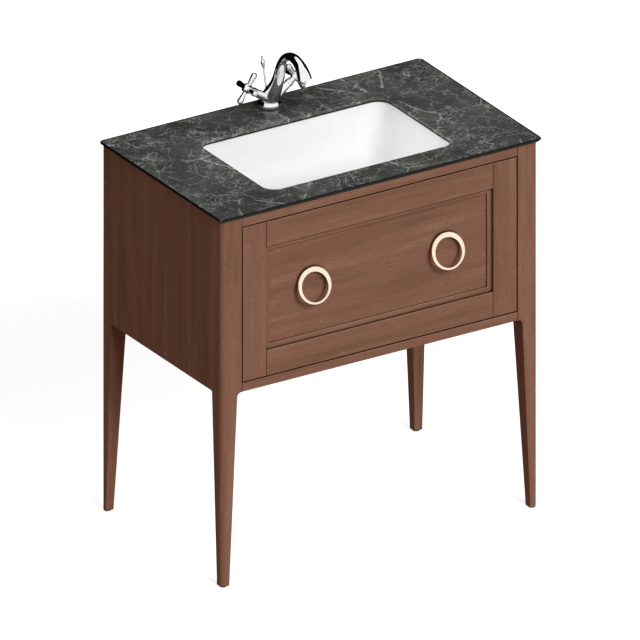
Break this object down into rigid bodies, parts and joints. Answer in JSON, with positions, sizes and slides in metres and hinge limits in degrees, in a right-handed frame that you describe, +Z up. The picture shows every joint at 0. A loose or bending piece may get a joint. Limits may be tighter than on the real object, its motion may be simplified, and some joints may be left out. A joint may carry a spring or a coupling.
{
  "type": "vanity unit",
  "caption": "Vanity unit with a walnut drawer cabinet on tapered legs, a dark stone worktop, an undermount basin, a swan-neck tap with cross handles and a pop-up waste.",
  "frame": {"origin": "on the floor, below the middle of the worktop", "axes": "+Z up, +Y to the back towards the wall, +X to the right of someone facing the drawer"},
  "size_m": [0.8, 0.4978, 1.0085],
  "materials": {
    "walnut": "satin reddish-brown walnut veneer",
    "drawer_board": "plain lacquered plywood",
    "dark_stone": "polished dark marble with pale veins",
    "white_glaze": "gloss white glaze",
    "tap_chrome": "polished chrome plate",
    "pull_metal": "satin champagne plate",
    "zinc_steel": "zinc plated",
    "brass": "plain machined brass",
    "soft_rubber": "matt black rubber",
    "clear_silicone": "translucent silicone",
    "white_plastic": "white moulded plastic",
    "glide_plastic": "dark nylon"
  },
  "bodies": {
    "cabinet": {"leg_front_left": "walnut", "leg_front_right": "walnut", "leg_back_left": "walnut", "leg_back_right": "walnut", "side_panel_left": "walnut", "side_panel_right": "walnut", "top_front_rail": "walnut", "bottom_front_rail": "walnut", "top_back_rail": "walnut", "bottom_back_rail": "walnut", "slide_battens": "drawer_board", "countertop": "dark_stone", "basin": "white_glaze", "tap_body": "tap_chrome", "tap_base_ring": "tap_chrome", "tap_bonnet_left": "tap_chrome", "tap_bonnet_right": "tap_chrome", "tap_aerator": "tap_chrome", "waste_flange": "tap_chrome", "slide_cabinet_left": "zinc_steel", "slide_cabinet_right": "zinc_steel", "basin_clips": "zinc_steel", "waste_nut": "brass", "tap_shank": "brass", "tap_backnut": "brass", "tap_gasket": "soft_rubber", "waste_washer": "soft_rubber", "basin_seal": "clear_silicone", "waste_body": "white_plastic", "pivot_nut": "white_plastic", "trap_head": "white_plastic", "trap_cup": "white_plastic", "trap_outlet_pipe": "white_plastic", "trap_nuts": "white_plastic", "foot_glides": "glide_plastic"},
    "drawer": {"drawer_stile_left": "walnut", "drawer_stile_right": "walnut", "drawer_rail_top": "walnut", "drawer_rail_bottom": "walnut", "drawer_panel": "walnut", "drawer_moulding": "walnut", "ring_pull_left": "pull_metal", "ring_pull_right": "pull_metal", "drawer_screws": "zinc_steel", "drawer_side_left": "drawer_board", "drawer_side_right": "drawer_board", "drawer_box_front": "drawer_board", "drawer_back": "drawer_board", "drawer_well": "drawer_board", "drawer_bottom": "drawer_board", "slide_drawer_left": "zinc_steel", "slide_drawer_right": "zinc_steel"},
    "slide_middle_left": {"slide_middle_left": "zinc_steel"},
    "slide_middle_right": {"slide_middle_right": "zinc_steel"},
    "lift_rod": {"lift_rod": "tap_chrome", "linkage_strap": "zinc_steel"},
    "pivot_rod": {"pivot_rod": "zinc_steel"},
    "waste_plug": {"waste_plug": "tap_chrome"},
    "cross_handle_left": {"cross_handle_left": "tap_chrome"},
    "cross_handle_right": {"cross_handle_right": "tap_chrome"}
  },
  "joints": [
    {"name": "drawer_slide", "type": "slide", "parent": "cabinet", "child": "drawer", "axis": [0, -1, 0], "range_m": [0, 0.34]},
    {"name": "slide_left_extend", "type": "slide", "parent": "cabinet", "child": "slide_middle_left", "axis": [0, -1, 0], "range_m": [0, 0.17]},
    {"name": "slide_right_extend", "type": "slide", "parent": "cabinet", "child": "slide_middle_right", "axis": [0, -1, 0], "range_m": [0, 0.17]},
    {"name": "lift_rod_slide", "type": "slide", "parent": "cabinet", "child": "lift_rod", "axis": [0, 0.247, 0.969], "range_m": [-0.03, 0]},
    {"name": "pivot_rod_tilt", "type": "hinge", "parent": "cabinet", "child": "pivot_rod", "pos_m": [0, 0.01, 0.626], "axis": [1, 0, 0], "range_deg": [-12.4, 0]},
    {"name": "plug_lift", "type": "slide", "parent": "cabinet", "child": "waste_plug", "axis": [0, 0, 1], "range_m": [0, 0.0072]},
    {"name": "handle_left_turn", "type": "hinge", "parent": "cabinet", "child": "cross_handle_left", "pos_m": [-0.05472, 0.195, 0.90541], "axis": [-0.829, 0, 0.5592], "range_deg": [0, 90]},
    {"name": "handle_right_turn", "type": "hinge", "parent": "cabinet", "child": "cross_handle_right", "pos_m": [0.05472, 0.195, 0.90541], "axis": [0.829, 0, 0.5592], "range_deg": [-90, 0]}
  ],
  "couplings": [
    {"joint": "slide_left_extend", "follows": "drawer_slide", "ratio": 0.5},
    {"joint": "slide_right_extend", "follows": "drawer_slide", "ratio": 0.5},
    {"joint": "pivot_rod_tilt", "follows": "lift_rod_slide", "rad_per_m": 7.183},
    {"joint": "plug_lift", "follows": "lift_rod_slide", "ratio": -0.238}
  ]
}
